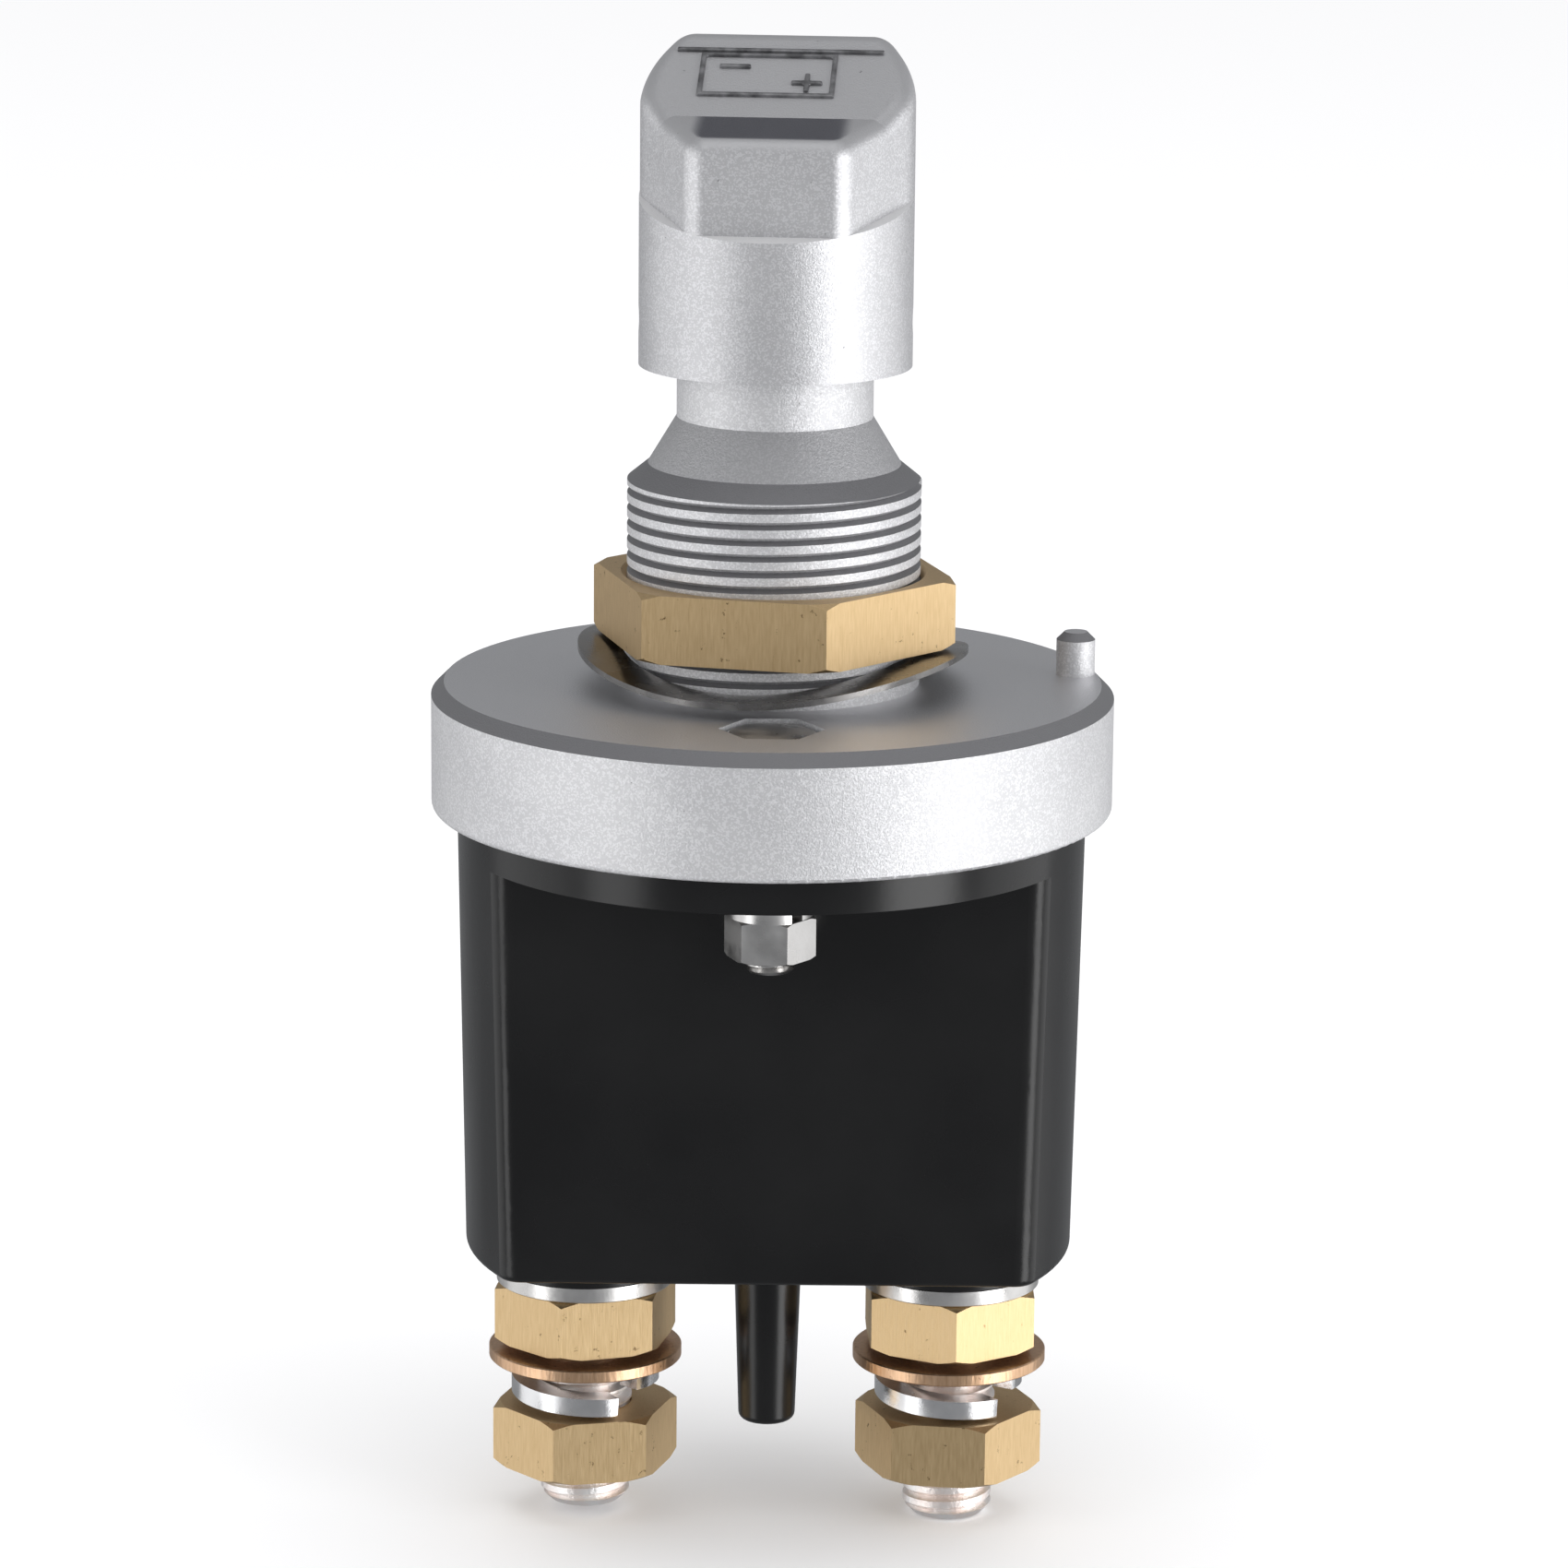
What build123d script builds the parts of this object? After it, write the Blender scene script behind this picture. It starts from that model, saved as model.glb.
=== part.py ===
from build123d import *
from math import cos, pi, radians, sin, sqrt, tan
import os

# Battery disconnect switch for a panel: a turn knob on a threaded neck, a round
# flange, a black moulded body and two threaded terminal studs underneath.
# Millimetres. The origin is the centre of the flange's upper face, which goes
# against the panel. +Z is the knob's axis, the front is -Y, the studs lie on X.

# Clearances
spindle_fit = 0.05       # radial, spindle in the neck's bore and stem in the slide
skirt_gap = 0.3          # radial, knob's skirt round the bare neck
slide_gap = 0.3          # between sliding faces, and pin to cam slot
seat_gap = 0.02          # radial, pressed or screwed pieces of one body
bolt_gap = 0.15          # radial, bolts and studs in their clearance holes
body_fit = 0.2           # radial, body inside the flange's rim
sliver = 0.01            # a cutter's reach past a corner, and how near counts as the same

# Flange and neck, one die-casting
flange_r = 35.0
flange_edge = 1.3
plate_t = 7.0
rim_depth = 12.9
rim_wall = 2.35
rim_edge = 0.5
thread_r = 15.0
thread_top = 21.0
cone_foot_r = 12.9
shoulder_h = 1.7
cone_h = 4.8
neck_r = 10.0
neck_above_cone = 15.5
neck_edge = 0.6
core_r = 10.0
core_depth = 19.0

# Knob and its drive
knob_r = 13.9
bare_neck = 5.3          # neck showing between the cone and the knob's skirt
skirt_h = 14.6           # skirt's edge to its shoulder in front
shoulder_slope = 12.7    # shoulder's climb from the nose to the knob's sides
nose_w = 15.4            # nose's width and depth where its flat sides meet
nose_y = 12.1
nose_corner = 2.2
flank_y = 1.2            # where the flanks run out in the knob's round side
flank_blend = 6.0
nose_h = 9.3             # shoulder to the nose's front top edge
nose_slope = 13.0
face_slope = 30.0        # sloping face that carries the emblem
ridge_h = 18.0
ridge_y = 7.3
back_slope = 15.0
ridge_round = 3.0
grip_round = 2.0
grip_bury = 1.0          # grip's foot inside the skirt
knob_turn = -4.7         # nose's turn from square, seen from above
skirt_depth = 13.2
socket_depth = 6.5
socket_gap = 0.3         # above the spindle's end
knob_pin_r = 1.5
knob_pin_end = 0.3       # pin's end below the skirt's surface
knob_travel = 2.5        # drop of the knob over its quarter turn
slot_cover = 0.4         # skirt's overlap below the cam slot's lower end
slot_past = 1.0          # slot cutter's reach past each side of the neck's wall

# Spindle and contact gear
spindle_r = 6.0
spindle_edge = 0.5
stem_r = 4.0
stem_play = 0.3          # slide's boss to the retaining ring
seat_shoulder_r = 9.0
seat_shoulder_t = 2.5
seat_below_plate = 4.5
seal_section = 1.8
seal_squeeze = 0.03      # ring's outside below the spindle's surface
groove_play = 0.1
seal_height = 18.0
ring_t = 0.9
ring_r = 6.6
ring_bite = 0.5
ring_play = 0.05
stem_tail = 1.1          # stem's end below the ring's groove
spring_wire_r = 0.9
spring_r = 7.0
spring_coils = 5
slide_l = 24.0
slide_t = 6.0
slide_cheek = 3.0
slide_pocket = 2.0
slide_corner = 1.0
cheek_gap = 0.1          # bridge to each of the slide's cheeks
boss_wall = 2.1
bridge_w = 14.0
bridge_t = 4.0
bridge_past_stud = 7.0
bridge_corner = 3.0
contact_gap = 0.2        # left between bridge and studs with the switch on

# Body, one black moulding
collar_under = 16.7      # flange's face to the collar's underside
body_bottom = 59.7
body_draft = 1.0
flat_y = 17.0
flat_corner = 2.6
body_wall = 3.5
body_floor = 6.7
body_foot_round = 0.8
gasket_t = 0.8
terminal_boss_h = 2.8
peg_r = 3.6
peg_tip_r = 2.95
peg_l = 19.8
peg_round = 0.8
peg_root = 1.0           # peg's straight root inside the body's floor

# Terminals
terminal_inset = 15.9    # flange's edge to each stud's axis
stud_r = 4.9
stud_head_r = 8.0
stud_head_t = 4.0
stud_head_edge = 0.5
stud_tip_r = 4.65        # stud's end below the lower nut
stud_chamfer = 0.9
tip_gap = 0.3            # lower nut's underside to the start of the tip
stud_out_left = 88.2
stud_out_right = 89.3
nut_af = 17.0
nut_upper_h = 6.3
nut_lower_h = 6.6
seat_washer_r = 9.3
seat_washer_t = 1.7
washer_r = 10.1
washer_t = 1.3
washer_play = 0.8
split_r = 7.75
split_wall = 2.5
split_t = 1.9
split_rise = 2.4
split_play = 0.3
nut_turns_upper = (17.0, -27.0)
nut_turns_lower = (12.0, -8.0)
split_turns = (-62.0, -50.0)

# Panel fixing
panel_nut_af = 33.0
panel_nut_h = 7.0
panel_nut_height = 4.5
panel_nut_turn = -13.7
panel_nut_edge = 0.9
panel_nut_mouth = 0.6
wave_r = 20.0
wave_hole_r = 15.6
wave_t = 0.6
wave_rise = 3.0
wave_tilt = 1.0          # front low place above the back one
wave_steps = 24          # places where each rim of the washer is set
wave_turn = -15.0
wave_lift = 0.05
peg_stop_r = 2.0         # locating peg that stops the switch turning in its panel
peg_stop_h = 4.5
peg_stop_inset = 3.8     # flange's edge to the peg's axis
peg_stop_y = 4.3
peg_stop_edge = 0.8

# Flange bolts
bolt_y = 23.0
bolt_r = 2.5
bolt_af = 8.0
bolt_head_h = 3.5
pocket_af = 9.2
pocket_depth = 3.8
bolt_washer_r = 5.0
bolt_washer_t = 0.9
bolt_split_r = 4.3
bolt_split_wall = 1.5
bolt_split_t = 1.2
bolt_split_rise = 0.2
bolt_nut_h = 4.2
bolt_out = 1.5
bolt_turn = -8.0
bolt_edge = 0.4

# Heights and places worked out from the sizes above
cone_top = thread_top + shoulder_h + cone_h
neck_top = cone_top + neck_above_cone
skirt_foot = cone_top + bare_neck
shoulder_z = skirt_foot + skirt_h
grip_foot = shoulder_z - grip_bury
ridge_z = shoulder_z + ridge_h
slot_r = knob_pin_r + slide_gap
pin_z = skirt_foot + slot_cover + knob_travel + slot_r
bore_r = spindle_r + spindle_fit
body_top = -plate_t - gasket_t
body_r = flange_r - rim_wall - body_fit
body_foot_r = body_r - (body_bottom + body_top) * tan(radians(body_draft))
floor_z = -body_bottom + body_floor
head_top = floor_z + stud_head_t
bridge_z = head_top + contact_gap + knob_travel
slide_z = bridge_z + bridge_t
slide_top = slide_z + slide_t
boss_r = stem_r + spindle_fit + boss_wall
boss_foot = bridge_z - stem_play
shoulder_top = -plate_t - seat_below_plate
shoulder_foot = shoulder_top - seat_shoulder_t
ring_z = boss_foot - stem_play - ring_t
stem_foot = ring_z - stem_tail
terminal_seat = -body_bottom - terminal_boss_h
terminal_x = flange_r - terminal_inset
peg_stop_x = flange_r - peg_stop_inset


def chamfered_hex(across_flats, hole_r, foot, height, turn, cut=0.9):
    """Hexagon nut or bolt head; cut is the width that the corners lose."""
    corner_r = across_flats / 2 / cos(radians(30)) + sliver
    face_r = corner_r - cut
    drop = cut * tan(radians(30))
    top = foot + height
    with BuildPart() as hexagon:
        with BuildSketch(Plane.XY.offset(foot)):
            RegularPolygon(across_flats / 2, 6, major_radius=False, rotation=turn)
            if hole_r > 0:
                Circle(hole_r, mode=Mode.SUBTRACT)
        extrude(amount=height)
        with BuildSketch(Plane.XZ):
            Polygon(
                (0, foot),
                (face_r, foot),
                (corner_r, foot + drop),
                (corner_r, top - drop),
                (face_r, top),
                (0, top),
                align=None,
            )
        revolve(axis=Axis.Z, mode=Mode.INTERSECT)
    return hexagon.part


def flat_washer(outer_r, hole_r, foot, thickness, edge=0.12):
    """Flat washer with broken outer edges."""
    with BuildPart() as washer:
        with BuildSketch(Plane.XY.offset(foot)):
            Circle(outer_r)
            Circle(hole_r, mode=Mode.SUBTRACT)
        extrude(amount=thickness)
        rims = washer.edges().filter_by(GeomType.CIRCLE).sort_by(SortBy.RADIUS)[-2:]
        chamfer(rims, edge)
    return washer.part


def split_washer(outer_r, wall, thickness, foot, rise, turn, left_hand=True):
    """Split spring washer: a square-edged ring wound as nearly one turn of a helix."""
    mid_r = outer_r - wall / 2
    open_share = 0.05
    with BuildPart() as ring:
        with BuildLine() as coil:
            Helix(
                pitch=rise / (1 - open_share),
                height=rise,
                radius=mid_r,
                center=(0, 0, foot + thickness / 2),
                lefthand=left_hand,
            )
        section = Plane(origin=coil.line @ 0, x_dir=(1, 0, 0), z_dir=coil.line % 0)
        with BuildSketch(section):
            Rectangle(wall, thickness)
        sweep(path=coil.line, is_frenet=True)
    return ring.part.rotate(Axis.Z, turn)


# Cam slot cutter: a slot that climbs a quarter turn round the neck's wall, with
# round ends where the knob's cross pin comes to rest
slot_mid_r = (bore_r + neck_r) / 2
slot_reach = neck_r - bore_r + 2 * slot_past
with BuildPart() as cam_slot:
    with BuildLine() as cam_path:
        Helix(
            pitch=4 * knob_travel,
            height=knob_travel,
            radius=slot_mid_r,
            center=(0, 0, pin_z - knob_travel),
        )
    slot_start = Plane(origin=cam_path.line @ 0, x_dir=(1, 0, 0), z_dir=cam_path.line % 0)
    with BuildSketch(slot_start):
        Rectangle(slot_reach, 2 * slot_r)
    sweep(path=cam_path.line, is_frenet=True)
    with BuildSketch(Plane.YZ.offset(slot_mid_r - slot_reach / 2)):
        with Locations((0, pin_z - knob_travel)):
            Circle(slot_r)
    extrude(amount=slot_reach)
    with BuildSketch(Plane.XZ.offset(-slot_mid_r - slot_reach / 2)):
        with Locations((0, pin_z)):
            Circle(slot_r)
    extrude(amount=slot_reach)

# Housing: flange, threaded neck, cone and bare neck, one die-casting turned true on
# its bore. The rim hangs round the body's collar, and a peg stands on the flange.
rim_r = flange_r - rim_wall
with BuildPart() as housing:
    with BuildSketch(Plane.XZ):
        Polygon(
            (bore_r, neck_top),
            (neck_r - neck_edge, neck_top),
            (neck_r, neck_top - neck_edge),
            (neck_r, cone_top),
            (cone_foot_r, thread_top + shoulder_h),
            (thread_r, thread_top),
            (thread_r, 0),
            (flange_r - flange_edge, 0),
            (flange_r, -flange_edge),
            (flange_r, -rim_depth),
            (rim_r, -rim_depth),
            (rim_r, -plate_t),
            (core_r, -plate_t),
            (core_r, core_depth - plate_t),
            (bore_r, core_depth - plate_t),
            align=None,
        )
    revolve(axis=Axis.Z)
    rim_edges = housing.edges().group_by(Axis.Z)[0]
    fillet(rim_edges, rim_edge)
    with BuildSketch(Plane.XY):
        with Locations((0, -bolt_y), (0, bolt_y)):
            RegularPolygon(pocket_af / 2, 6, major_radius=False)
    extrude(amount=-pocket_depth, mode=Mode.SUBTRACT)
    with BuildSketch(Plane.XY):
        with Locations((0, -bolt_y), (0, bolt_y)):
            Circle(bolt_r + bolt_gap)
    extrude(amount=-plate_t, mode=Mode.SUBTRACT)
    with BuildSketch(Plane.XY.offset(-plate_t / 2)):
        with Locations((peg_stop_x, peg_stop_y)):
            Circle(peg_stop_r)
    extrude(amount=plate_t / 2 + peg_stop_h)
    peg_rim = housing.edges().filter_by(
        lambda e: abs(e.center().Z - peg_stop_h) < sliver and e.length < 3 * pi * peg_stop_r
    )
    chamfer(peg_rim, peg_stop_edge)
    add(cam_slot.part, rotation=(0, 0, -90), mode=Mode.SUBTRACT)
    add(cam_slot.part, rotation=(0, 0, 90), mode=Mode.SUBTRACT)
housing.part.label = "housing"
export_step(housing.part, "parts/housing.step")

# Panel nut: thin brass hexagon that clamps the panel from the knob's side
with BuildPart() as panel_nut:
    add(
        chamfered_hex(
            panel_nut_af,
            thread_r + seat_gap,
            panel_nut_height,
            panel_nut_h,
            panel_nut_turn,
            panel_nut_edge,
        )
    )
    mouths = panel_nut.edges().filter_by(GeomType.CIRCLE).sort_by(SortBy.RADIUS)[:2]
    chamfer(mouths, panel_nut_mouth)
panel_nut.part.label = "panel_nut"
export_step(panel_nut.part, "parts/panel_nut.step")

# Wave washer: thin spring steel ring with two high and two low places, lying a little
# tilted with its back on the flange and its high places under the nut
def wave_rim(radius, height):
    """Closed edge of the washer at one radius and one side of its thickness."""
    points = []
    for i in range(wave_steps):
        angle = 2 * pi * i / wave_steps
        place = angle + radians(wave_turn)
        wave = wave_rise * cos(angle) ** 2 + wave_tilt * (1 - sin(angle)) / 2
        points.append((radius * cos(place), radius * sin(place), wave_lift + height + wave))
    return Edge.make_spline(points, periodic=True)


wave_rims = [
    wave_rim(wave_hole_r, 0),
    wave_rim(wave_r, 0),
    wave_rim(wave_r, wave_t),
    wave_rim(wave_hole_r, wave_t),
]
wave_sides = [Face.make_surface_from_curves(wave_rims[i - 1], wave_rims[i]) for i in range(4)]
with BuildPart() as wave_washer:
    add(Solid(Shell(wave_sides)))
wave_washer.part.label = "wave_washer"
export_step(wave_washer.part, "parts/wave_washer.step")

# Gasket: flat seal between the flange's plate and the body
chamber_y = flat_y - body_wall
chamber_r = body_foot_r - body_wall
with BuildPart() as gasket:
    with BuildSketch(Plane.XY.offset(body_top)):
        Circle(body_r)
        with BuildSketch(mode=Mode.PRIVATE) as window:
            Circle(chamber_r)
            Rectangle(2 * chamber_r, 2 * chamber_y, mode=Mode.INTERSECT)
        add(window.sketch, mode=Mode.SUBTRACT)
        with Locations((0, -bolt_y), (0, bolt_y)):
            Circle(bolt_r + bolt_gap, mode=Mode.SUBTRACT)
    extrude(amount=gasket_t)
gasket.part.label = "gasket"
export_step(gasket.part, "parts/gasket.step")

# Body: drafted barrel with a flat front and back under a round collar, a chamber for
# the contacts, a boss over each terminal and a centre peg, all one moulding
with BuildPart() as body:
    with BuildSketch(Plane.XZ):
        Polygon(
            (0, body_top), (body_r, body_top), (body_foot_r, -body_bottom), (0, -body_bottom), align=None
        )
    revolve(axis=Axis.Z)
    with BuildSketch(Plane.XY.offset(-collar_under)):
        with Locations((0, flat_y), (0, -flat_y - body_r)):
            Rectangle(2 * body_r, body_r, align=(Align.CENTER, Align.MIN))
    extrude(amount=-body_bottom, mode=Mode.SUBTRACT)
    uprights = body.edges().filter_by(
        lambda e: e.bounding_box().size.Z > (body_bottom - collar_under) / 2
        and abs(abs(e.center().Y) - flat_y) < flat_corner / 2
    )
    fillet(uprights, flat_corner)
    foot_edges = body.edges().group_by(Axis.Z)[0]
    fillet(foot_edges, body_foot_round)
    with BuildSketch(Plane.XY.offset(body_top)):
        Circle(chamber_r)
        Rectangle(2 * chamber_r, 2 * chamber_y, mode=Mode.INTERSECT)
    extrude(amount=floor_z - body_top, mode=Mode.SUBTRACT)
    with BuildSketch(Plane.XY.offset(-body_bottom)):
        with Locations((-terminal_x, 0), (terminal_x, 0)):
            Circle(seat_washer_r)
    extrude(amount=-terminal_boss_h)
    with BuildSketch(Plane.XZ):
        Polygon(
            (0, -body_bottom + peg_root),
            (peg_r, -body_bottom + peg_root),
            (peg_r, -body_bottom),
            (peg_tip_r, -body_bottom - peg_l),
            (0, -body_bottom - peg_l),
            align=None,
        )
    revolve(axis=Axis.Z)
    fillet(body.edges().group_by(Axis.Z)[0], peg_round)
    with BuildSketch(Plane.XY.offset(floor_z)):
        with Locations((-terminal_x, 0), (terminal_x, 0)):
            Circle(stud_r + bolt_gap)
    extrude(amount=-body_floor - terminal_boss_h, mode=Mode.SUBTRACT)
    with BuildSketch(Plane.XY.offset(body_top)):
        with Locations((0, -bolt_y), (0, bolt_y)):
            Circle(bolt_r + bolt_gap)
    extrude(amount=-collar_under, mode=Mode.SUBTRACT)
body.part.label = "body"
export_step(body.part, "parts/body.step")

# Flange bolts and what holds them under the collar, one of each at front and back
bolt_places = [(0, -bolt_y, 0), (0, bolt_y, 0)]
washer_foot = -collar_under - bolt_washer_t
split_foot = washer_foot - bolt_split_t - bolt_split_rise
bolt_nut_foot = split_foot - bolt_nut_h
bolt_end = bolt_nut_foot - bolt_out
with BuildPart() as flange_bolts:
    with Locations(*bolt_places):
        add(chamfered_hex(bolt_af, 0, -pocket_depth, bolt_head_h, 0, bolt_edge))
    with BuildSketch(Plane.XY.offset(-pocket_depth)):
        with Locations(*[place[:2] for place in bolt_places]):
            Circle(bolt_r)
    extrude(amount=bolt_end + pocket_depth)
    chamfer(flange_bolts.edges().group_by(Axis.Z)[0], bolt_edge)
flange_bolts.part.label = "flange_bolts"
export_step(flange_bolts.part, "parts/flange_bolts.step")

with BuildPart() as flange_bolt_washers:
    with Locations(*bolt_places):
        add(flat_washer(bolt_washer_r, bolt_r + bolt_gap, washer_foot, bolt_washer_t))
flange_bolt_washers.part.label = "flange_bolt_washers"
export_step(flange_bolt_washers.part, "parts/flange_bolt_washers.step")

with BuildPart() as flange_bolt_spring_washers:
    with Locations(*bolt_places):
        add(
            split_washer(
                bolt_split_r, bolt_split_wall, bolt_split_t, split_foot, bolt_split_rise, -60
            )
        )
flange_bolt_spring_washers.part.label = "flange_bolt_spring_washers"
export_step(flange_bolt_spring_washers.part, "parts/flange_bolt_spring_washers.step")

with BuildPart() as flange_bolt_nuts:
    with Locations(*bolt_places):
        add(
            chamfered_hex(
                bolt_af, bolt_r + seat_gap, bolt_nut_foot, bolt_nut_h, bolt_turn, bolt_edge
            )
        )
flange_bolt_nuts.part.label = "flange_bolt_nuts"
export_step(flange_bolt_nuts.part, "parts/flange_bolt_nuts.step")

# Stack on each stud, from the body down: seat washer, nut, flat washer, spring
# washer and nut. The lower set is run on loosely, ready for a cable lug.
stack_x = (-terminal_x, terminal_x)
seat_foot = terminal_seat - seat_washer_t
upper_foot = seat_foot - nut_upper_h
washer_top = upper_foot - washer_play
washer_bottom = washer_top - washer_t
split_top = washer_bottom - split_play
split_bottom = split_top - split_t - split_rise
lower_top = split_bottom - split_play
lower_foot = lower_top - nut_lower_h

# Terminal studs: round contact head inside on the body's floor, shank down through
# its boss, a slimmer chamfered tip below the lower nut
for side, place_x, stud_end in (
    ("left", -terminal_x, -stud_out_left),
    ("right", terminal_x, -stud_out_right),
):
    with BuildPart() as terminal_stud:
        with BuildSketch(Plane.XY.offset(floor_z)):
            with Locations((place_x, 0)):
                Circle(stud_head_r)
        extrude(amount=stud_head_t)
        chamfer(terminal_stud.edges().sort_by(Axis.Z)[-1], stud_head_edge)
        with BuildSketch(Plane.XY.offset(floor_z)):
            with Locations((place_x, 0)):
                Circle(stud_r)
        extrude(amount=lower_foot - tip_gap - floor_z)
        with BuildSketch(Plane.XY.offset(lower_foot - tip_gap)):
            with Locations((place_x, 0)):
                Circle(stud_tip_r)
        extrude(amount=stud_end - lower_foot + tip_gap)
        chamfer(terminal_stud.edges().group_by(Axis.Z)[0], stud_chamfer)
    terminal_stud.part.label = "terminal_stud_" + side
    export_step(terminal_stud.part, "parts/terminal_stud_" + side + ".step")

with BuildPart() as seat_washers:
    for x in stack_x:
        with Locations((x, 0, 0)):
            add(flat_washer(seat_washer_r, stud_r + bolt_gap, seat_foot, seat_washer_t))
seat_washers.part.label = "seat_washers"
export_step(seat_washers.part, "parts/seat_washers.step")

with BuildPart() as terminal_nuts_upper:
    for x, turn in zip(stack_x, nut_turns_upper):
        with Locations((x, 0, 0)):
            add(chamfered_hex(nut_af, stud_r + seat_gap, upper_foot, nut_upper_h, turn))
terminal_nuts_upper.part.label = "terminal_nuts_upper"
export_step(terminal_nuts_upper.part, "parts/terminal_nuts_upper.step")

with BuildPart() as terminal_washers:
    for x in stack_x:
        with Locations((x, 0, 0)):
            add(flat_washer(washer_r, stud_r + bolt_gap, washer_bottom, washer_t))
terminal_washers.part.label = "terminal_washers"
export_step(terminal_washers.part, "parts/terminal_washers.step")

with BuildPart() as terminal_spring_washers:
    for x, turn in zip(stack_x, split_turns):
        with Locations((x, 0, 0)):
            add(split_washer(split_r, split_wall, split_t, split_bottom, split_rise, turn))
terminal_spring_washers.part.label = "terminal_spring_washers"
export_step(terminal_spring_washers.part, "parts/terminal_spring_washers.step")

with BuildPart() as terminal_nuts_lower:
    for x, turn in zip(stack_x, nut_turns_lower):
        with Locations((x, 0, 0)):
            add(chamfered_hex(nut_af, stud_r + seat_gap, lower_foot, nut_lower_h, turn))
terminal_nuts_lower.part.label = "terminal_nuts_lower"
export_step(terminal_nuts_lower.part, "parts/terminal_nuts_lower.step")

# Knob's upper part: round behind, with two flat flanks that run in to a blunt finger
# nose in front, and a sloping face from the nose's top up to the ridge
turn = radians(knob_turn)
across = (cos(turn), sin(turn), 0)
knob_side = Plane(origin=(0, 0, 0), x_dir=(-sin(turn), cos(turn), 0), z_dir=across)
nose_climb = tan(radians(nose_slope))
face_climb = tan(radians(face_slope))
back_fall = tan(radians(back_slope))
shoulder_climb = tan(radians(shoulder_slope))
nose_top_z = shoulder_z + nose_h
face_foot_z = ridge_z - face_climb * ridge_y
face_foot_y = (face_foot_z - nose_top_z - nose_climb * nose_y) / (nose_climb - face_climb)
far = 2 * knob_r
with BuildPart() as grip:
    with BuildSketch(Plane(origin=(0, 0, grip_foot), x_dir=across, z_dir=(0, 0, 1))):
        Circle(knob_r)
        Polygon(
            (-nose_w / 2, -nose_y),
            (nose_w / 2, -nose_y),
            (knob_r, -flank_y),
            (knob_r, far),
            (-knob_r, far),
            (-knob_r, -flank_y),
            align=None,
            mode=Mode.INTERSECT,
        )
    extrude(amount=far)
    nose_edges = grip.edges().filter_by(Axis.Z).sort_by(Axis.Y)[:4]
    fillet(nose_edges, nose_corner)
    flank_ends = grip.edges().filter_by(Axis.Z).sort_by(Axis.Y)[-2:]
    fillet(flank_ends, flank_blend)
    with BuildSketch(knob_side):
        Polygon(
            (-far, nose_top_z - nose_climb * (far - nose_y)),
            (face_foot_y, nose_top_z + nose_climb * (nose_y + face_foot_y)),
            (ridge_y, ridge_z),
            (far, ridge_z - back_fall * (far - ridge_y)),
            (far, ridge_z + far),
            (-far, ridge_z + far),
            align=None,
        )
    extrude(amount=far, both=True, mode=Mode.SUBTRACT)
    ridge_edge = grip.edges().filter_by(GeomType.LINE).sort_by(Axis.Z)[-1]
    fillet(ridge_edge, ridge_round)
    level_lines = grip.edges().filter_by(GeomType.LINE).filter_by(Plane.XY).sort_by(Axis.Y)[1:]
    top_edges = grip.edges().filter_by_position(Axis.Z, nose_top_z - grip_bury, ridge_z)
    fillet(top_edges - level_lines, grip_round)

# Knob: round skirt under the grip with a sloping shoulder, one die-casting, hollow
# below for the neck and the spindle
with BuildPart() as knob:
    with BuildSketch(Plane.XY.offset(skirt_foot)):
        Circle(knob_r)
    extrude(amount=skirt_h + shoulder_climb * (nose_y + flank_blend))
    with BuildSketch(knob_side):
        Polygon(
            (-far, shoulder_z - shoulder_climb * (far - nose_y)),
            (flank_blend, shoulder_z + shoulder_climb * (nose_y + flank_blend)),
            (flank_blend, ridge_z),
            (-far, ridge_z),
            align=None,
        )
    extrude(amount=far, both=True, mode=Mode.SUBTRACT)
    add(grip.part)
    with BuildSketch(Plane.XY.offset(skirt_foot)):
        Circle(neck_r + skirt_gap)
    extrude(amount=skirt_depth, mode=Mode.SUBTRACT)
    with BuildSketch(Plane.XY.offset(skirt_foot + skirt_depth)):
        Circle(spindle_r + seat_gap)
    extrude(amount=socket_depth, mode=Mode.SUBTRACT)
    with BuildSketch(Plane.YZ):
        with Locations((0, pin_z)):
            Circle(knob_pin_r + seat_gap)
    extrude(amount=far, both=True, mode=Mode.SUBTRACT)
knob.part.label = "knob"
export_step(knob.part, "parts/knob.step")

# Cross pin: fixes the knob to the spindle and rides in the neck's two cam slots
pin_half = sqrt(knob_r**2 - knob_pin_r**2) - knob_pin_end
with BuildPart() as knob_pin:
    with BuildSketch(Plane.YZ):
        with Locations((0, pin_z)):
            Circle(knob_pin_r)
    extrude(amount=pin_half, both=True)
knob_pin.part.label = "knob_pin"
export_step(knob_pin.part, "parts/knob_pin.step")

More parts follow.
